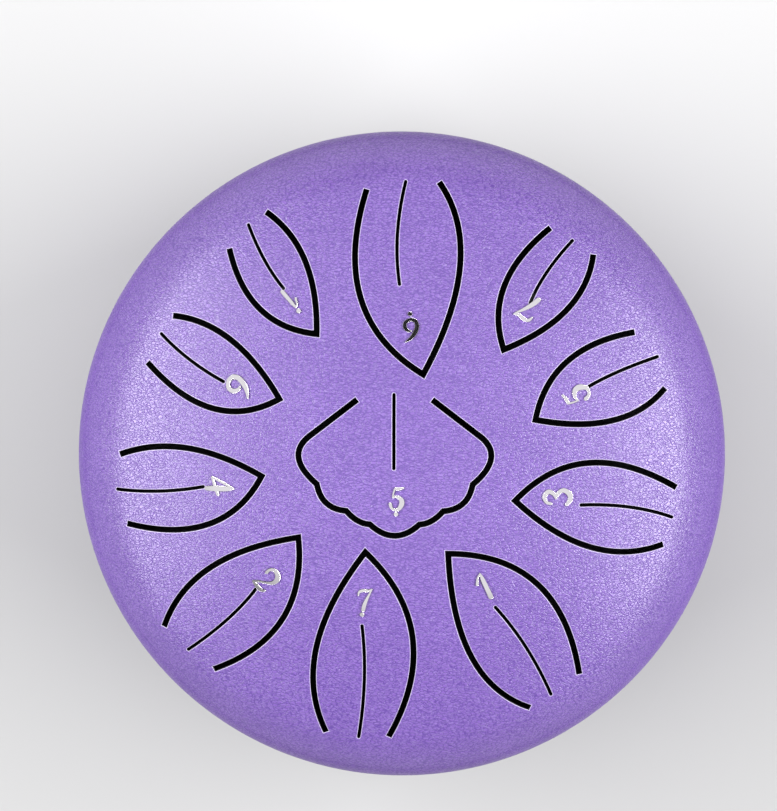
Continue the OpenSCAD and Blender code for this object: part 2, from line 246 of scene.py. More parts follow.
def purple_powder_coat(name, crease, darker, lighter, fleck, roughness, relief_depth):
    """Satin powder coat, sprayed and baked: a fine leathery skin of soft bumps, with painted shade
    that darkens the creases between them, painted glints as pale specks on the highest grit, and
    soft highlights that break up into glints. The real grit is finer than 0.3 mm and is drawn at
    twice that."""
    material, tree, place = blank_material(name)
    bends = add_node(tree, "ShaderNodeTexNoise", inputs={
        "Vector": place, "Scale": per_mm(1.1), "Detail": 2})
    bent = add_node(tree, "ShaderNodeVectorMath", {"operation": "MULTIPLY_ADD"}, {
        0: bends.outputs["Color"], 1: (0.9 * MM,) * 3, 2: place})
    flow = add_node(tree, "ShaderNodeMapping", inputs={
        "Vector": bent.outputs["Vector"], "Scale": (0.7, 1.35, 1)})
    cells = add_node(tree, "ShaderNodeTexVoronoi", {"feature": "DISTANCE_TO_EDGE"}, {
        "Vector": flow.outputs["Vector"], "Scale": per_mm(0.75)})
    bumps = add_node(tree, "ShaderNodeMapRange", {"interpolation_type": "SMOOTHSTEP"}, {
        "Value": cells.outputs["Distance"], "From Min": 0, "From Max": 0.22})
    grit = add_node(tree, "ShaderNodeTexNoise", inputs={
        "Vector": flow.outputs["Vector"], "Scale": per_mm(0.6), "Detail": 2, "Roughness": 0.65})
    # Painted highlight: pale specks on the highest points of the grit, which also lifts the relief
    # there
    specks = add_node(tree, "ShaderNodeMapRange", inputs={
        "Value": grit.outputs["Fac"], "From Min": 0.48, "From Max": 0.72, "To Max": 0.36})
    cloud = add_node(tree, "ShaderNodeTexNoise", inputs={
        "Vector": place, "Scale": per_mm(14), "Detail": 2, "Roughness": 0.5})
    body = add_node(tree, "ShaderNodeValToRGB", inputs={"Fac": cloud.outputs["Fac"]},
                    stops=[(0.35, darker), (0.65, lighter)])
    # Painted shade: the coat is darkened in the creases between the bumps, where the relief is
    # lowest
    coat_tone = add_node(tree, "ShaderNodeMix", {"data_type": "RGBA"}, {
        0: bumps.outputs["Result"], 6: linear(crease), 7: body.outputs["Color"]})
    colour = add_node(tree, "ShaderNodeMix", {"data_type": "RGBA"}, {
        0: specks.outputs["Result"], 6: coat_tone.outputs[2], 7: linear(fleck)})
    relief = add_node(tree, "ShaderNodeMath", {"operation": "MULTIPLY_ADD"}, {
        0: bumps.outputs["Result"], 1: 0.6, 2: grit.outputs["Fac"]})
    bump = add_node(tree, "ShaderNodeBump", inputs={
        "Height": relief.outputs["Value"], "Strength": 1, "Distance": relief_depth * MM})
    # The bumps of the skin hide one another at a low angle, so the gloss fades towards the rim
    facing = add_node(tree, "ShaderNodeLayerWeight", inputs={"Blend": 0.5}).outputs["Facing"]
    gloss = add_node(tree, "ShaderNodeMapRange", inputs={
        "Value": facing, "From Min": 0.33, "From Max": 0.65, "To Min": 0.95, "To Max": 0.05})
    coat = add_node(tree, "ShaderNodeBsdfPrincipled", inputs={
        "Base Color": colour.outputs[2], "Roughness": roughness, "IOR": 1.5,
        "Specular IOR Level": gloss.outputs["Result"], "Normal": bump.outputs["Normal"]})
    add_node(tree, "ShaderNodeOutputMaterial", inputs={"Surface": coat.outputs["BSDF"]})
    return material


def pickled_steel():
    """Cold-rolled steel left bare inside the drum: dark from pickling and rinsing, with cloudy
    stains."""
    material, tree, place = blank_material("pickled_steel")
    stains = add_node(tree, "ShaderNodeTexNoise", inputs={
        "Vector": place, "Scale": per_mm(6), "Detail": 4, "Roughness": 0.6})
    tone = add_node(tree, "ShaderNodeValToRGB", inputs={"Fac": stains.outputs["Fac"]},
                    stops=[(0.35, "#2c2c31"), (0.7, "#45454b")])
    haze = add_node(tree, "ShaderNodeMapRange", inputs={
        "Value": stains.outputs["Fac"], "From Min": 0.3, "From Max": 0.7,
        "To Min": 0.5, "To Max": 0.7})
    steel = add_node(tree, "ShaderNodeBsdfPrincipled", inputs={
        "Base Color": tone.outputs["Color"], "Metallic": 0.7, "Roughness": haze.outputs["Result"]})
    add_node(tree, "ShaderNodeOutputMaterial", inputs={"Surface": steel.outputs["BSDF"]})
    return material


def bright_nickel():
    """Electroplated nickel over a polished stamping: a clear, slightly warm mirror with faint
    waves."""
    material, tree, place = blank_material("bright_nickel")
    waves = add_node(tree, "ShaderNodeTexNoise", inputs={
        "Vector": place, "Scale": per_mm(2.5), "Detail": 1, "Roughness": 0.5})
    bump = add_node(tree, "ShaderNodeBump", inputs={
        "Height": waves.outputs["Fac"], "Strength": 0.2, "Distance": 0.01 * MM})
    haze = add_node(tree, "ShaderNodeMapRange", inputs={
        "Value": waves.outputs["Fac"], "To Min": 0.05, "To Max": 0.09})
    plate = add_node(tree, "ShaderNodeBsdfPrincipled", inputs={
        "Base Color": linear("#f0edf2"), "Metallic": 1, "Roughness": haze.outputs["Result"],
        "Normal": bump.outputs["Normal"]})
    add_node(tree, "ShaderNodeOutputMaterial", inputs={"Surface": plate.outputs["BSDF"]})
    return material


def satin_magnet_plate():
    """Barrel-plated nickel on a sintered magnet: greyer and softer than the digits, with small
    scuffs."""
    material, tree, place = blank_material("satin_magnet_plate")
    scuffs = add_node(tree, "ShaderNodeTexNoise", inputs={
        "Vector": place, "Scale": per_mm(0.8), "Detail": 4, "Roughness": 0.7})
    haze = add_node(tree, "ShaderNodeMapRange", inputs={
        "Value": scuffs.outputs["Fac"], "From Min": 0.3, "From Max": 0.7,
        "To Min": 0.22, "To Max": 0.42})
    tone = add_node(tree, "ShaderNodeValToRGB", inputs={"Fac": scuffs.outputs["Fac"]},
                    stops=[(0.3, "#9fa1a6"), (0.7, "#bcbec2")])
    plate = add_node(tree, "ShaderNodeBsdfPrincipled", inputs={
        "Base Color": tone.outputs["Color"], "Metallic": 1, "Roughness": haze.outputs["Result"]})
    add_node(tree, "ShaderNodeOutputMaterial", inputs={"Surface": plate.outputs["BSDF"]})
    return material


def black_epoxy():
    """Cured black glue that holds a magnet: a thin uneven film with a soft shine."""
    material, tree, place = blank_material("black_epoxy")
    ripples = add_node(tree, "ShaderNodeTexNoise", inputs={
        "Vector": place, "Scale": per_mm(1.5), "Detail": 2, "Roughness": 0.5})
    tone = add_node(tree, "ShaderNodeValToRGB", inputs={"Fac": ripples.outputs["Fac"]},
                    stops=[(0, "#0e0e10"), (1, "#1c1c1f")])
    bump = add_node(tree, "ShaderNodeBump", inputs={
        "Height": ripples.outputs["Fac"], "Strength": 0.5, "Distance": 0.1 * MM})
    glue = add_node(tree, "ShaderNodeBsdfPrincipled", inputs={
        "Base Color": tone.outputs["Color"], "Roughness": 0.45, "IOR": 1.55,
        "Normal": bump.outputs["Normal"]})
    add_node(tree, "ShaderNodeOutputMaterial", inputs={"Surface": glue.outputs["BSDF"]})
    return material


def moulded_rubber():
    """Moulded natural rubber: near black and matt, with a fine pitted skin and a little bloom."""
    material, tree, place = blank_material("moulded_rubber")
    pits = add_node(tree, "ShaderNodeTexNoise", inputs={
        "Vector": place, "Scale": per_mm(0.35), "Detail": 3, "Roughness": 0.6})
    bloom = add_node(tree, "ShaderNodeTexNoise", inputs={
        "Vector": place, "Scale": per_mm(4), "Detail": 3, "Roughness": 0.6})
    tone = add_node(tree, "ShaderNodeValToRGB", inputs={"Fac": bloom.outputs["Fac"]},
                    stops=[(0.35, "#212124"), (0.75, "#34343a")])
    bump = add_node(tree, "ShaderNodeBump", inputs={
        "Height": pits.outputs["Fac"], "Strength": 0.4, "Distance": 0.05 * MM})
    rubber = add_node(tree, "ShaderNodeBsdfPrincipled", inputs={
        "Base Color": tone.outputs["Color"], "Roughness": 0.68, "IOR": 1.52,
        "Normal": bump.outputs["Normal"]})
    add_node(tree, "ShaderNodeOutputMaterial", inputs={"Surface": rubber.outputs["BSDF"]})
    return material


PAINT = purple_powder_coat(
    "purple_powder_coat", crease="#6a4ca4", darker="#8663bd", lighter="#8e6bc5", fleck="#b49ee2",
    roughness=0.28, relief_depth=0.08)
# Powder draws back from a cut edge as it bakes, so the coat is thinner and glossier there;
# its much paler colour is a painted highlight, standing in for the light that the rounded edges
# catch
EDGE_PAINT = purple_powder_coat(
    "edge_coat_with_painted_highlight", crease="#cabbe8", darker="#d3c6ee", lighter="#dacff2", fleck="#e6def8",
    roughness=0.3, relief_depth=0.02)
BARE_STEEL = pickled_steel()
NICKEL = bright_nickel()
MAGNET_PLATE = satin_magnet_plate()
GLUE = black_epoxy()
RUBBER = moulded_rubber()


# Curves in the plan

# Guards against dividing by nothing
TINY = 1e-9
TINY_SQUARE = 1e-12


def unit(v):
    return v / np.linalg.norm(v, axis=-1, keepdims=True)


def bent_line(a, belly, b, steps):
    """Points after a on the curve from a to b that belly pulls aside."""
    a, belly, b = (np.array(p, float) for p in (a, belly, b))
    t = np.arange(1, steps + 1)[:, None] / steps
    return (1 - t) ** 2 * a + 2 * t * (1 - t) * belly + t ** 2 * b


def leaf_path(leaf, steps=40):
    """Middle line of a leaf's slot: both flanks, with a sharp tip between them."""
    return np.vstack([leaf[:1], bent_line(*leaf[0:3], steps), bent_line(*leaf[2:5], steps)])


def shell_path(s, steps=14):
    """Middle line of the shell's slot: its left half, the middle lobe and the mirrored half."""
    left = np.vstack([
        s[:2], bent_line(*s[1:4], 2 * steps), bent_line(*s[3:6], steps), bent_line(*s[5:8], steps)])
    right = left[::-1] * [1, -1]
    return np.vstack([left, bent_line(s[7], s[8], [s[7][0], -s[7][1]], steps), right[1:]])


def tongue_path(i):
    if i == 0:
        return DRUM_R * (shell_path(SHELL) + [0, SHELL_ACROSS])
    return DRUM_R * leaf_path(LEAVES[i - 1])


def rail(path, shift):
    """The path moved sideways, to the right where shift is above zero, with mitred corners."""
    step = unit(np.diff(path, axis=0))
    right = np.column_stack([step[:, 1], -step[:, 0]])
    before = np.vstack([right[:1], right])
    after = np.vstack([right, right[-1:]])
    return path + shift * (before + after) / (1 + (before * after).sum(1, keepdims=True))


def turned(points, degrees):
    """Plan points turned about the drum's centre."""
    a = math.radians(degrees)
    return np.array(points) @ np.array([[math.cos(a), math.sin(a)], [-math.sin(a), math.cos(a)]])


def ring(r, count, centre=(0, 0)):
    """Evenly spaced points on a circle, with the metal on their right where it is a hole."""
    a = np.arange(count) * 2 * math.pi / count
    return np.column_stack([np.cos(a), np.sin(a)]) * r + centre


def smooth_line(line, steps):
    """A smooth line through the given points, with its changing half width."""
    line = np.array(line, float)
    padded = np.vstack([line[:1], line, line[-1:]])
    t = (np.arange(steps) / steps)[:, None]
    spans = []
    for i in range(len(line) - 1):
        p, q, r, s = padded[i:i + 4]
        spans.append((2 * q + (r - p) * t + (2 * p - 5 * q + 4 * r - s) * t ** 2
                      + (3 * q - p - 3 * r + s) * t ** 3) / 2)
    return np.vstack(spans + [line[-1:]])


def pen_outline(line, cap_steps=8):
    """Closed outline of a pen line of changing width: right side, end, left side, start."""
    middle, half = line[:, :2], line[:, 2:]
    along = unit(np.vstack([
        middle[1:2] - middle[:1], middle[2:] - middle[:-2], middle[-1:] - middle[-2:-1]]))
    right = np.column_stack([along[:, 1], -along[:, 0]])

    def cap(i, direction):
        start = math.degrees(math.atan2(direction[1], direction[0])) - 90
        angles = np.radians(start + 180 * np.arange(1, cap_steps) / cap_steps)
        return middle[i] + half[i] * np.column_stack([np.cos(angles), np.sin(angles)])

    return np.vstack([
        middle + half * right, cap(-1, along[-1]), (middle - half * right)[::-1],
        cap(0, -along[0])])


# Surfaces. Each gives places and outward normals at plan points, at a depth under the skin.

def playing_face(plan, depth):
    """The shallow crown, and the rounded shoulder that it runs into."""
    r = np.hypot(plan[:, 0], plan[:, 1])
    crown = CROWN_R - depth
    shoulder = SHOULDER_R - depth
    on_crown = r <= crown * math.sin(SHOULDER_ANGLE)
    rise = np.where(on_crown, np.sqrt(np.maximum(crown ** 2 - r ** 2, 0)),
                    np.sqrt(np.maximum(shoulder ** 2 - (r - SHOULDER_MID_R) ** 2, 0)))
    z = np.where(on_crown, CROWN_CENTRE_Z, SHOULDER_Z) + rise
    lean = np.where(on_crown, r / crown, (r - SHOULDER_MID_R) / shoulder)
    side = plan * (lean / np.maximum(r, TINY))[:, None]
    return np.column_stack([plan, z]), np.column_stack([side, np.sqrt(1 - lean ** 2)])


def flat_base(plan, depth):
    """The bowl's flat base, which faces down."""
    places = np.column_stack([plan, np.full(len(plan), FOOT_H + depth)])
    return places, np.tile([0.0, 0.0, -1.0], (len(plan), 1))


def crown_turn(i):
    """Turns +Z square to the playing face at the spot of note i."""
    x, y = DRUM_R * SPOTS[i][0], DRUM_R * SPOTS[i][1]
    lean = math.asin(math.hypot(x, y) / CROWN_R)
    across = math.atan2(y, x)
    turns = ((math.radians(BEARINGS[i]) + across, "Z"), (lean, "Y"), (-across, "Z"))
    made = Matrix.Identity(3)
    for angle, axis in turns:
        made = made @ Matrix.Rotation(angle, 3, axis)
    return np.array(made)


def digit_face(i):
    """Top of a digit, curved as the playing face under it is."""
    turn = crown_turn(i)

    def face(plan, depth):
        r = CROWN_R + GLUE_GAP + NUMBER_T - depth
        local = np.column_stack([plan, np.sqrt(r ** 2 - (plan ** 2).sum(1))])
        return local @ turn.T + [0, 0, CROWN_CENTRE_Z], local @ turn.T / r

    return face


# Skins. Each face has one of three finishes, in the order of the piece's materials.

OUTSIDE, EDGE, INSIDE = 0, 1, 2
# Corners closer than the last of these decimals of a millimetre become one
SAME_PLACE_DECIMALS = 5
# A plan's even grid: height of its rows and least distance from the plan's lines, in spacings
ROW_SHARE = 0.866
CLEAR_SHARE = 0.45
SAME_PLAN_PLACE = 1e-6
# Lines of a loop whose turn has a cosine above this are one curve
CURVE_COSINE = 0.85
SHARPEST_MITRE = 0.25


class Skin:
    """Faces of one piece, with the normal at each corner of a face."""

    def __init__(self):
        self.blocks = []

    def add(self, places, normals, finish):
        """Takes arrays of (face, corner, xyz) in millimetres."""
        self.blocks.append((places, normals, finish))

    def make(self, name, materials, slot, *nodes):
        every = np.vstack([places.reshape(-1, 3) for places, _, _ in self.blocks])
        _, kept, number = np.unique(
            np.round(every, SAME_PLACE_DECIMALS), axis=0, return_index=True, return_inverse=True)
        faces, ways, finishes, used = [], [], [], 0
        for places, normals, finish in self.blocks:
            count, size = places.shape[:2]
            corners = number.ravel()[used:used + count * size].reshape(count, size)
            used += count * size
            whole = (np.diff(np.sort(corners, axis=1), axis=1) > 0).all(1)
            faces += corners[whole].tolist()
            ways.append(normals[whole].reshape(-1, 3))
            finishes += [finish] * int(whole.sum())
        mesh = bpy.data.meshes.new(name)
        mesh.from_pydata(every[kept] * MM, [], faces)
        for material in materials:
            mesh.materials.append(material)
        mesh.polygons.foreach_set("material_index", finishes)
        mesh.shade_smooth()
        mesh.normals_split_custom_set(np.vstack(ways))
        made = bpy.data.objects.new(name, mesh)
        bpy.context.scene.collection.objects.link(made)
        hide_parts(*nodes)
        return made


def lathe(skin, strips, count, place=lambda p, n: (p, n), inner=()):
    """Turns each strip of (radius, height, normal out, normal up) about the axis, with a crease
    between strips. A strip runs with the outside on its left. Those numbered in inner get the
    finish of the inside."""
    angles = np.arange(count + 1) * 2 * math.pi / count
    angles[-1] = 0
    c, s = np.cos(angles), np.sin(angles)
    for number, strip in enumerate(strips):
        finish = INSIDE if number in inner else OUTSIDE
        strip = [(0 if abs(r) < TINY else r, z, out, up) for r, z, out, up in strip]
        rings = [place(np.column_stack([c * r, s * r, np.full(len(c), z)]),
                       np.column_stack([c * out, s * out, np.full(len(c), up)]))
                 for r, z, out, up in strip]
        for k, (a, b) in enumerate(zip(rings[:-1], rings[1:])):
            # A face that reaches the axis has three corners
            if strip[k][0] == 0:
                corners = [(v[:-1], w[:-1], w[1:]) for v, w in zip(a, b)]
            elif strip[k + 1][0] == 0:
                corners = [(v[:-1], w[:-1], v[1:]) for v, w in zip(a, b)]
            else:
                corners = [(v[:-1], w[:-1], w[1:], v[1:]) for v, w in zip(a, b)]
            places, normals = (np.stack(each, 1) for each in corners)
            skin.add(places, normals, finish)


def arc(mid_r, mid_z, r, start, end, steps, sign=1):
    """Strip along a round: its normals point from the middle, or to it where sign is -1."""
    angles = np.radians(np.linspace(start, end, steps + 1))
    return [(mid_r + r * c, mid_z + r * s, sign * c, sign * s)
            for c, s in ((math.cos(a), math.sin(a)) for a in angles)]


def straight(r1, z1, r2, z2):
    """Strip along a straight line, with the outside on its left."""
    length = math.hypot(r2 - r1, z2 - z1)
    out, up = (z1 - z2) / length, (r2 - r1) / length
    return [(r1, z1, out, up), (r2, z2, out, up)]


def in_metal(points, loops):
    """Which points lie inside an odd number of the loops."""
    odd = np.zeros(len(points), bool)
    x, y = points[:, :1], points[:, 1:2]
    for loop in loops:
        a, b = loop, np.roll(loop, -1, axis=0)
        spans = (a[:, 1] > y) != (b[:, 1] > y)
        with np.errstate(divide="ignore", invalid="ignore"):
            cross = a[:, 0] + (y - a[:, 1]) / (b[:, 1] - a[:, 1]) * (b[:, 0] - a[:, 0])
        odd ^= (spans & (x < cross)).sum(1) % 2 == 1
    return odd


def clear_of(points, loops, distance):
    """Which points are at least this far from every line of the loops."""
    far = np.ones(len(points), bool)
    for loop in loops:
        a, b = loop, np.roll(loop, -1, axis=0)
        ab = b - a
        rel = points[:, None] - a
        t = np.clip((rel * ab).sum(2) / np.maximum((ab ** 2).sum(1), TINY_SQUARE), 0, 1)
        far &= (np.hypot(*(rel - t[..., None] * ab).transpose(2, 0, 1)) > distance).all(1)
    return far


def mitre(loop):
    """Way from each corner of a closed loop into the metal on its right, for an inset of one."""
    step = unit(np.roll(loop, -1, axis=0) - loop)
    right = np.column_stack([step[:, 1], -step[:, 0]])
    before = np.roll(right, 1, axis=0)
    opening = 1 + (before * right).sum(1, keepdims=True)
    return (before + right) / np.maximum(opening, SHARPEST_MITRE)


def void_side(loop):
    """For each line of a loop, the way to the void on its left at its first and last point,
    smooth along curves and sharp at corners."""
    step = unit(np.roll(loop, -1, axis=0) - loop)
    left = np.column_stack([-step[:, 1], step[:, 0]])
    before, after = np.roll(left, 1, axis=0), np.roll(left, -1, axis=0)
    return (np.where((left * other).sum(1, keepdims=True) > CURVE_COSINE, unit(left + other), left)
            for other in (before, after))


def whole_piece(points):
    return np.full(len(points), "whole", object)


def cut_sheet(surface, rim, voids, thickness, edge, spacing, cuts=(), part_of=whole_piece, steps=4):
    """Skins of a sheet whose edges along its voids are rounded, with the edge finish on the upper
    half of the rounding (on the painted sheets a thinner coat whose pale colour is a painted
    highlight), and square and bare inside. Each void runs with the metal on its right. rim is left
    open, for a turned skin to meet. cuts are lines that part the sheet into pieces, and part_of
    names the piece that each of an array of plan points is in."""
    skins = {}
    insets = [loop + edge * mitre(loop) for loop in voids]
    bounds = ([rim] if rim is not None else []) + insets
    everything = np.vstack(bounds)
    low, high = everything.min(0), everything.max(0)
    rows = np.arange(low[1], high[1], spacing * ROW_SHARE)
    grid = np.array([(x + (spacing / 2 if k % 2 else 0), y) for k, y in enumerate(rows)
                     for x in np.arange(low[0], high[0], spacing)])
    grid = grid[in_metal(grid, bounds)]
    grid = grid[clear_of(grid, bounds + list(cuts), spacing * CLEAR_SHARE)]
    corners, lines = [], []
    for loop, closed in [(b, True) for b in bounds] + [(c, False) for c in cuts]:
        first = len(corners)
        corners.extend(loop)
        lines += [(first + k, first + k + 1) for k in range(len(loop) - 1)]
        if closed:
            lines.append((first + len(loop) - 1, first))
    corners.extend(grid)
    made = delaunay_2d_cdt([Vector(p) for p in corners], lines, [], 0, SAME_PLAN_PLACE, True)
    # The plan comes back at single precision, so each corner takes its first place again
    plan = np.array([
        corners[first[0]] if first else tuple(p) for p, first in zip(made[0], made[3])])
    triangles = np.array([tuple(t) for t in made[2]])
    triangles = triangles[in_metal(plan[triangles].mean(1), bounds)]
    ab, ac = (plan[triangles[:, k]] - plan[triangles[:, 0]] for k in (1, 2))
    clockwise = ab[:, 0] * ac[:, 1] < ab[:, 1] * ac[:, 0]
    triangles[clockwise] = triangles[clockwise][:, ::-1]
    outer, outer_n = surface(plan, 0)
    inner, inner_n = surface(plan, thickness)
    faces_up = outer_n[0, 2] > 0

    def add(labels, places, normals, finish):
        if not faces_up:
            places, normals = places[:, ::-1], normals[:, ::-1]
        for label in set(labels):
            mine = labels == label
            skins.setdefault(label, Skin()).add(places[mine], normals[mine], finish)

    labels = part_of(plan[triangles].mean(1))
    add(labels, outer[triangles], outer_n[triangles], OUTSIDE)
    add(labels, inner[triangles[:, ::-1]], -inner_n[triangles[:, ::-1]], INSIDE)

    for loop in voids:
        way = mitre(loop)
        first, last = (np.column_stack([w, np.zeros(len(w))]) for w in void_side(loop))
        labels = part_of((loop + np.roll(loop, -1, axis=0)) / 2)
        rings = []
        for k in range(steps + 1):
            a = math.pi / 2 * k / steps
            c, s = math.cos(a), math.sin(a)
            places, normals = surface(loop + way * edge * (1 - s), edge * (1 - c))
            rings.append((places, np.roll(places, -1, axis=0), normals * c + first * s,
                          np.roll(normals, -1, axis=0) * c + last * s))
        for k, (upper, lower) in enumerate(zip(rings[:-1], rings[1:])):
            p, p_next, pn, pn_next = upper
            q, q_next, qn, qn_next = lower
            # The upper half of each rounding takes the edge finish: on the painted sheets a pale
            # coat that is a painted highlight
            add(labels, np.stack([p, p_next, q_next, q], 1),
                np.stack([pn, pn_next, qn_next, qn], 1), EDGE if k < steps / 2 else INSIDE)
        foot, foot_n = surface(loop, thickness)
        heel, heel_n = surface(loop + way * edge, thickness)
        foot_next, foot_n_next, heel_next, heel_n_next = (
            np.roll(v, -1, axis=0) for v in (foot, foot_n, heel, heel_n))
        top, top_next = rings[-1][:2]
        add(labels, np.stack([top, top_next, foot_next, foot], 1),
            np.stack([first, last, last, first], 1), INSIDE)
        add(labels, np.stack([foot, foot_next, heel_next, heel], 1),
            -np.stack([foot_n, foot_n_next, heel_n_next, heel_n], 1), INSIDE)
    return skins


# Playing face: one pressed sheet, parted along the straight root of each tongue

# Where the plan of the face ends and its turned shoulder starts
FACE_RIM_R = 69
TURNS = 360
FACE_SPACING = 2.0
SIDE_STEPS = 20
VEIN_STEPS = 16
ROOT_SPACING = 1.2
LEAST_ROOT_PARTS = 4
HAIR = 1e-4


def tongue_rails(i):
    """Outer and inner edge of the slot round a tongue."""
    path = tongue_path(i)
    return (turned(rail(path, side * SLOT_W / 2), BEARINGS[i]) for side in (1, -1))


def vein_loop(i):
    """Outline of the thin slot along the middle of a tongue."""
    a, belly, b = VEINS[i]
    line = DRUM_R * np.vstack([[a], bent_line(a, belly, b, VEIN_STEPS)])
    line = np.column_stack([line, np.full(len(line), VEIN_W / 2)])
    return turned(pen_outline(line), BEARINGS[i])


slots, roots, tongue_areas = [], [], []
for i in range(len(NOTES)):
    outer_rail, inner_rail = tongue_rails(i)
    slot = np.vstack([outer_rail, inner_rail[::-1]])
    inset = slot + PAINT_EDGE * mitre(slot)
    left, right = inset[-1], inset[len(outer_rail)]
    count = max(int(np.linalg.norm(right - left) / ROOT_SPACING), LEAST_ROOT_PARTS)
    root = left + (right - left) * np.linspace(0, 1, count + 1)[:, None]
    slots.append(slot)
    roots.append(root)
    # Just wider than the tongue's own edge, so that the edge's lines fall inside it
    edge_line = rail(inner_rail, HAIR)
    tongue_areas.append(np.vstack([root[:1], edge_line, root[-1:]]))


def pieces_of_face(points):
    """Number of the tongue that each point is in, or the shell."""
    labels = np.full(len(points), "shell", object)
    for i, area in enumerate(tongue_areas):
        labels[in_metal(points, [area])] = i
    return labels


face = cut_sheet(
    playing_face, ring(FACE_RIM_R, TURNS), slots + [vein_loop(i) for i in range(len(NOTES))],
    SHEET, PAINT_EDGE, FACE_SPACING, cuts=roots, part_of=pieces_of_face)


def shoulder_strips():
    out_start = math.degrees(math.acos((FACE_RIM_R - SHOULDER_MID_R) / SHOULDER_R))
    in_start = math.degrees(math.acos((FACE_RIM_R - SHOULDER_MID_R) / (SHOULDER_R - SHEET)))
    lip = DRUM_R - WELD_DEPTH
    inside = DRUM_R - SHEET
    weld_z = SEAM_Z + WELD_DEPTH
    outer = arc(SHOULDER_MID_R, SHOULDER_Z, SHOULDER_R, out_start, 0, SIDE_STEPS)
    inner = arc(SHOULDER_MID_R, SHOULDER_Z, SHOULDER_R - SHEET, 0, in_start, SIDE_STEPS, -1)
    return [outer + [(DRUM_R, weld_z, 1, 0)], straight(DRUM_R, weld_z, lip, SEAM_Z),
            straight(lip, SEAM_Z, inside, SEAM_Z), [(inside, SEAM_Z, -1, 0)] + inner]


SHEET_FINISHES = [PAINT, EDGE_PAINT, BARE_STEEL]
lathe(face["shell"], shoulder_strips(), TURNS, inner=[3])
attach(face["shell"].make("shell_top", SHEET_FINISHES, "paint", "top_shell"), "drum")

for i, note in enumerate(NOTES):
    tongue = face[i].make(f"skin_{note}", SHEET_FINISHES, "paint", f"tongue_{note}")
    root_middle = roots[i].mean(0)
    tip = turned(tongue_path(i), BEARINGS[i])
    tip = tip[np.argmax(np.linalg.norm(tip - root_middle, axis=1))]
    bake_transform(tongue)


# Bowl: flat base with the sound hole and the holes for the feet, then the turned side

BOWL_STEPS = 40
SOUND_HOLE_SIDES = 180
FOOT_HOLE_SIDES = 60
HOLE_EDGE = 0.3
BASE_SPACING = 3.0


def bowl_strips():
    mid_z = SEAM_Z - BOWL_RIM_H
    lip = DRUM_R - WELD_DEPTH
    inside = DRUM_R - SHEET
    weld_z = SEAM_Z - WELD_DEPTH
    outer = arc(BASE_FLAT_R, mid_z, BOWL_R, -90, 0, BOWL_STEPS) + [(DRUM_R, weld_z, 1, 0)]
    inner = arc(BASE_FLAT_R, mid_z, BOWL_R - SHEET, 0, -90, BOWL_STEPS, -1)
    return [outer[::-1], straight(lip, SEAM_Z, DRUM_R, weld_z),
            straight(inside, SEAM_Z, lip, SEAM_Z), inner[::-1] + [(inside, SEAM_Z, -1, 0)]]


holes = [ring(SOUND_HOLE_R, SOUND_HOLE_SIDES)]
for bearing in FOOT_BEARINGS.values():
    spot = turned([[FOOT_RING_R, 0]], bearing)[0]
    holes.append(ring(FOOT_STEM_R + STEM_GAP, FOOT_HOLE_SIDES, spot))
bowl = cut_sheet(
    flat_base, ring(BASE_FLAT_R, TURNS), holes, SHEET, HOLE_EDGE, BASE_SPACING)["whole"]
lathe(bowl, bowl_strips(), TURNS, inner=[3])
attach(bowl.make("shell_bowl", SHEET_FINISHES, "paint", "bottom_shell"), "drum")


# Digits

PEN_STEPS = 10
DOT_SIDES = 36
DIGIT_SPACING = 0.8
OUTLINE_SPACING = 0.1
# Loops with no more corners than this are slivers between pen lines
SLIVER_CORNERS = 8


def union_loops(outlines):
    """Loops round the area that any of the outlines covers, with the metal on their right."""
    corners, faces = [], []
    for outline in outlines:
        faces.append(list(range(len(corners), len(corners) + len(outline))))
        corners.extend(Vector(p) for p in outline)
    made = delaunay_2d_cdt(corners, [], faces, 1, SAME_PLAN_PLACE, True)
    plan = np.array([tuple(p) for p in made[0]])
    follows = set()
    for triangle, covered_by in zip(made[2], made[5]):
        if covered_by:
            a, b, c = plan[list(triangle)]
            (ab_x, ab_y), (ac_x, ac_y) = b - a, c - a
            order = triangle if ab_x * ac_y > ab_y * ac_x else triangle[::-1]
            follows |= {(order[k], order[(k + 1) % 3]) for k in range(3)}
    border = {b: a for a, b in follows if (b, a) not in follows}
    loops = []
    while border:
        start = at = next(iter(border))
        loop = []
        while at in border:
            loop.append(at)
            at = border.pop(at)
        loops.append(plan[loop])
    return [evened(loop) for loop in loops if len(loop) > SLIVER_CORNERS]


def evened(loop, least=12):
    """The loop with evenly spaced points and slightly softened corners."""
    closed = np.vstack([loop, loop[:1]])
    run = np.concatenate([[0], np.cumsum(np.linalg.norm(np.diff(closed, axis=0), axis=1))])
    count = max(int(run[-1] / OUTLINE_SPACING), least)
    at = np.linspace(0, run[-1], count, endpoint=False)
    even = np.column_stack([np.interp(at, run, closed[:, k]) for k in (0, 1)])
    for _ in range(2):
        even = (np.roll(even, 1, axis=0) + 2 * even + np.roll(even, -1, axis=0)) / 4
    return even


for i, note in enumerate(NOTES):
    height = NUMBER_H * DIGIT_SIZES[i]
    pens = [pen_outline(height * smooth_line(line, PEN_STEPS)) for line in PEN_LINES[DIGITS[i]]]
    loops = union_loops(pens)
    if DOTS[i]:
        middle = (0, height * DOT_PLACE * DOTS[i])
        loops.append(ring(height * DOT_SIZE, DOT_SIDES, middle)[::-1])
    loops = [turned(loop, 90 + DIGIT_TURNS[i]) for loop in loops]
    plate = cut_sheet(digit_face(i), None, loops, NUMBER_T, DIGIT_EDGE, DIGIT_SPACING)["whole"]
    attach(plate.make(f"digit_{note}", [NICKEL] * 3, "nickel", f"number_{note}"), f"note_{note}")


# Tuning magnets

MAGNET_EDGE = 0.35
GLUED_EDGE = 0.1
MAGNET_SIDES = 72
MAGNET_EDGE_STEPS = 6
DISC_FINISHES = [MAGNET_PLATE, MAGNET_PLATE, GLUE]

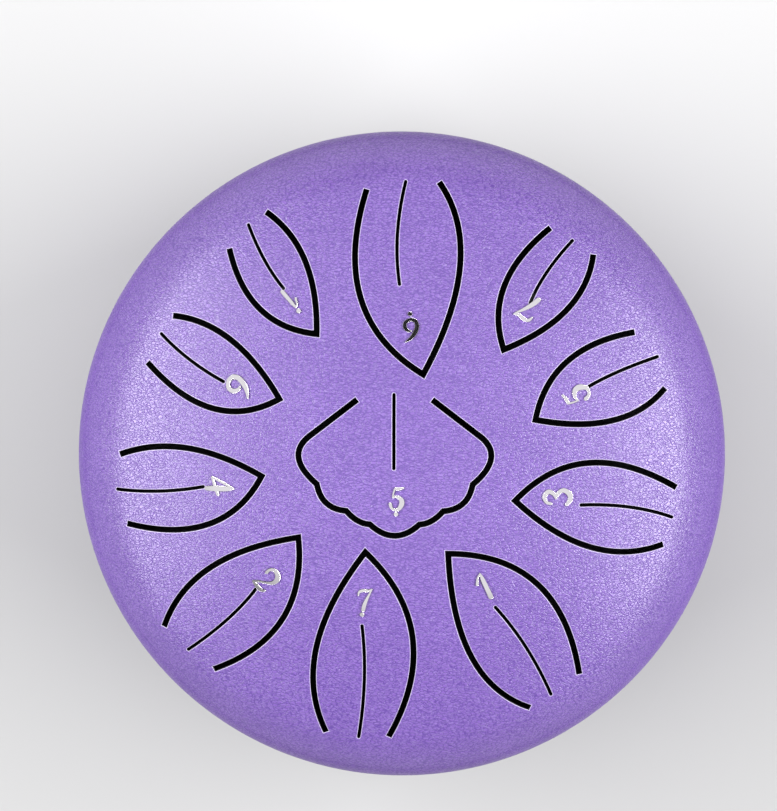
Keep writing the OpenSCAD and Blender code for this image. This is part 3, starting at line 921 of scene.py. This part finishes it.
# The rim of a disc's flat top lies against the round underside of the playing face
disc_top = math.sqrt((CROWN_R - SHEET - GLUE_GAP) ** 2 - MAGNET_R ** 2)
disc_low = disc_top - MAGNET_T
disc_strips = [
    straight(0, disc_top, MAGNET_R - GLUED_EDGE, disc_top),
    straight(MAGNET_R - GLUED_EDGE, disc_top, MAGNET_R, disc_top - GLUED_EDGE),
    [(MAGNET_R, disc_top - GLUED_EDGE, 1, 0)]
    + arc(MAGNET_R - MAGNET_EDGE, disc_low + MAGNET_EDGE, MAGNET_EDGE, 0, -90, MAGNET_EDGE_STEPS)
    + [(0, disc_low, 0, -1)],
]
for i, note in enumerate(NOTES):
    turn = crown_turn(i)
    magnet = Skin()
    lathe(magnet, disc_strips, MAGNET_SIDES,
          lambda p, n: (p @ turn.T + [0, 0, CROWN_CENTRE_Z], n @ turn.T), inner=[0])
    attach(magnet.make(f"disc_{note}", DISC_FINISHES, "magnet", f"magnet_{note}"), f"note_{note}")


# Feet: a pad with a dimple below, a stem through the base and a cone that holds it

DIMPLE_R = 3.2
DIMPLE_DEPTH = 1
FOOT_SIDES = 96
FOOT_ROUND_STEPS = 10
DIMPLE_STEPS = 8
dimple_ball = (DIMPLE_R ** 2 + DIMPLE_DEPTH ** 2) / (2 * DIMPLE_DEPTH)
dimple_start = math.degrees(math.acos(DIMPLE_R / dimple_ball))
head_low = FOOT_H + SHEET
head_top = head_low + FOOT_HEAD_H
foot_strips = [
    straight(0, head_top, FOOT_STEM_R, head_top),
    straight(FOOT_STEM_R, head_top, FOOT_HEAD_R, head_low),
    straight(FOOT_HEAD_R, head_low, FOOT_STEM_R, head_low),
    straight(FOOT_STEM_R, head_low, FOOT_STEM_R, FOOT_H),
    straight(FOOT_STEM_R, FOOT_H, FOOT_R, FOOT_H),
    [(FOOT_R, FOOT_H, 1, 0)]
    + arc(FOOT_R - FOOT_ROUND, FOOT_ROUND, FOOT_ROUND, 0, -90, FOOT_ROUND_STEPS)
    + [(DIMPLE_R, 0, 0, -1)],
    arc(0, DIMPLE_DEPTH - dimple_ball, dimple_ball, dimple_start, 90, DIMPLE_STEPS, -1),
]
for name, bearing in FOOT_BEARINGS.items():
    x, y = turned([[FOOT_RING_R, 0]], bearing)[0]
    pad = Skin()
    lathe(pad, foot_strips, FOOT_SIDES, lambda p, n: (p + [x, y, 0], n))
    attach(pad.make(f"pad_{name}", [RUBBER], "rubber", name), "drum")


weld = frame["nodes"]["seam_weld"]
weld.data.materials.clear()
weld.data.materials.append(PAINT)


# Floor, light and camera

def white_board():
    """Matt painted board: white, with painted shade that makes it a little greyer towards the front
    and under the lamps at the sides, and a near black painted shadow where the drum stands, so
    that nothing pale shows in the slots. It throws back less light than it shows."""
    material, tree, place = blank_material("white_board")
    along = add_node(tree, "ShaderNodeSeparateXYZ", inputs={"Vector": place})
    # Painted shade: the board is greyer towards the front
    shift = add_node(tree, "ShaderNodeMapRange", inputs={
        "Value": along.outputs["Y"], "From Min": -0.15, "From Max": 0.1})
    shown_tone = add_node(tree, "ShaderNodeMix", {"data_type": "RGBA"}, {
        0: shift.outputs["Result"], 6: linear("#c2c2c2"), 7: linear("#d8d8d8")})
    # Painted shade: the board is greyer away from the middle, under the lamps at the sides
    sideways = add_node(tree, "ShaderNodeMath", {"operation": "ABSOLUTE"}, {0: along.outputs["X"]})
    under_lamps = add_node(tree, "ShaderNodeMapRange", {"interpolation_type": "SMOOTHSTEP"}, {
        "Value": sideways.outputs["Value"], "From Min": 0.15, "From Max": 0.9})
    toned_down = add_node(tree, "ShaderNodeMix", {"data_type": "RGBA"}, {
        0: under_lamps.outputs["Result"], 6: shown_tone.outputs[2], 7: linear("#8e8e8e")})
    path = add_node(tree, "ShaderNodeLightPath")
    mirrored = add_node(tree, "ShaderNodeMath", {"operation": "MAXIMUM"}, {
        0: path.outputs["Is Glossy Ray"], 1: path.outputs["Is Transmission Ray"]})
    shown = add_node(tree, "ShaderNodeMath", {"operation": "MAXIMUM"}, {
        0: path.outputs["Is Camera Ray"], 1: mirrored.outputs["Value"]})
    board_tone = add_node(tree, "ShaderNodeMix", {"data_type": "RGBA"}, {
        0: shown.outputs["Value"], 6: linear("#6c6c6c"), 7: toned_down.outputs[2]})
    # Painted shadow: near black where the drum stands, clearing to the board's tone by the drum's
    # rim
    flat = add_node(tree, "ShaderNodeVectorMath", {"operation": "MULTIPLY"}, {
        0: place, 1: (1, 1, 0)})
    away = add_node(tree, "ShaderNodeVectorMath", {"operation": "LENGTH"}, {
        0: flat.outputs["Vector"]})
    clear = add_node(tree, "ShaderNodeMapRange", {"interpolation_type": "SMOOTHSTEP"}, {
        "Value": away.outputs["Value"], "From Min": BASE_FLAT_R * MM, "From Max": DRUM_R * MM})
    tone = add_node(tree, "ShaderNodeMix", {"data_type": "RGBA"}, {
        0: clear.outputs["Result"], 6: linear("#1c1c1c"), 7: board_tone.outputs[2]})
    board = add_node(tree, "ShaderNodeBsdfDiffuse", inputs={"Color": tone.outputs[2]})
    add_node(tree, "ShaderNodeOutputMaterial", inputs={"Surface": board.outputs["BSDF"]})
    return material


# Metres from here on
FLOOR_REACH = 8
LAMPS_AIM = (0, 0, 0.06)
CAMERA_PLACE = (0.014031, 0.062196, 0.644603)
CAMERA_AIM = (-0.003009, 0.01207, 0.048)
# Ways from the drum to the middle of the ceiling and to the lens hood
CEILING_WAY = (0, 0.17, 0.985)
HOOD_WAY = (0.018, 0.371, 0.928)

floor_mesh = bpy.data.meshes.new("floor")
floor_corners = [
    (x * FLOOR_REACH, y * FLOOR_REACH, 0) for x, y in ((-1, -1), (1, -1), (1, 1), (-1, 1))]
floor_mesh.from_pydata(floor_corners, [], [(0, 1, 2, 3)])
floor_mesh.materials.append(white_board())
floor = bpy.data.objects.new("floor", floor_mesh)
bpy.context.scene.collection.objects.link(floor)


def aimed(place, target, up):
    """Matrix of a lamp or camera at place that looks at target, with up towards the top of its
    view."""
    back = (Vector(place) - Vector(target)).normalized()
    right = Vector(up).cross(back).normalized()
    top = back.cross(right)
    made = Matrix((right, top, back)).transposed().to_4x4()
    made.translation = place
    return made


def softbox(name, place, width, height, power):
    lamp = bpy.data.lights.new(name, "AREA")
    lamp.shape = "RECTANGLE"
    lamp.size, lamp.size_y = width, height
    lamp.energy = power
    made = bpy.data.objects.new(name, lamp)
    bpy.context.scene.collection.objects.link(made)
    made.matrix_world = aimed(place, LAMPS_AIM, (0, 1, 0.01))


softbox("softbox_left", (-1.72, 0.16, 1.2), width=0.56, height=2.7, power=48)
softbox("softbox_right", (1.72, -0.12, 1.14), width=0.56, height=2.3, power=47)

# Studio room: a white ceiling, a little brighter at the back, dark walls that are a little
# paler low down, and a dark lens hood overhead that the digit of low_6 mirrors. The camera sees
# a plain pale backdrop in their place.
world = bpy.data.worlds.new("studio")
bpy.context.scene.world = world
world.use_nodes = True
room = world.node_tree
room.nodes.clear()
way = add_node(room, "ShaderNodeTexCoord").outputs["Generated"]
up_and_back = add_node(room, "ShaderNodeVectorMath", {"operation": "DOT_PRODUCT"}, {
    0: way, 1: CEILING_WAY})
ceiling_and_walls = add_node(room, "ShaderNodeValToRGB", inputs={
    "Fac": up_and_back.outputs["Value"]},
    stops=[(0.12, "#585858"), (0.3, "#303030"), (0.6, "#303030"), (0.73, "#eeeeee")])
to_hood = add_node(room, "ShaderNodeVectorMath", {"operation": "DOT_PRODUCT"}, {
    0: way, 1: HOOD_WAY})
beside_hood = add_node(room, "ShaderNodeMapRange", inputs={
    "Value": to_hood.outputs["Value"], "From Min": 0.9945, "From Max": 0.9965,
    "To Min": 1, "To Max": 0.02})
backdrop = add_node(room, "ShaderNodeMapRange", {"interpolation_type": "SMOOTHSTEP"}, {
    "Value": up_and_back.outputs["Value"], "From Max": 0.3, "To Min": 0.16, "To Max": 0.62})
seen = add_node(room, "ShaderNodeLightPath").outputs["Is Camera Ray"]
room_tone = add_node(room, "ShaderNodeMix", {"data_type": "RGBA"}, {
    0: seen, 6: ceiling_and_walls.outputs["Color"], 7: backdrop.outputs["Result"]})
sky = add_node(room, "ShaderNodeBackground", inputs={
    "Color": room_tone.outputs[2], "Strength": beside_hood.outputs["Result"]})
add_node(room, "ShaderNodeOutputWorld", inputs={"Surface": sky.outputs["Background"]})

camera_data = bpy.data.cameras.new("camera")
camera_data.sensor_fit = "HORIZONTAL"
camera_data.sensor_width = 36
camera_data.lens = 115.6
camera = bpy.data.objects.new("camera", camera_data)
bpy.context.scene.collection.objects.link(camera)
camera.matrix_world = aimed(CAMERA_PLACE, CAMERA_AIM, (0, 1, 0))
bpy.context.scene.camera = camera
bpy.context.scene.view_settings.view_transform = "Standard"

bpy.context.view_layer.update()
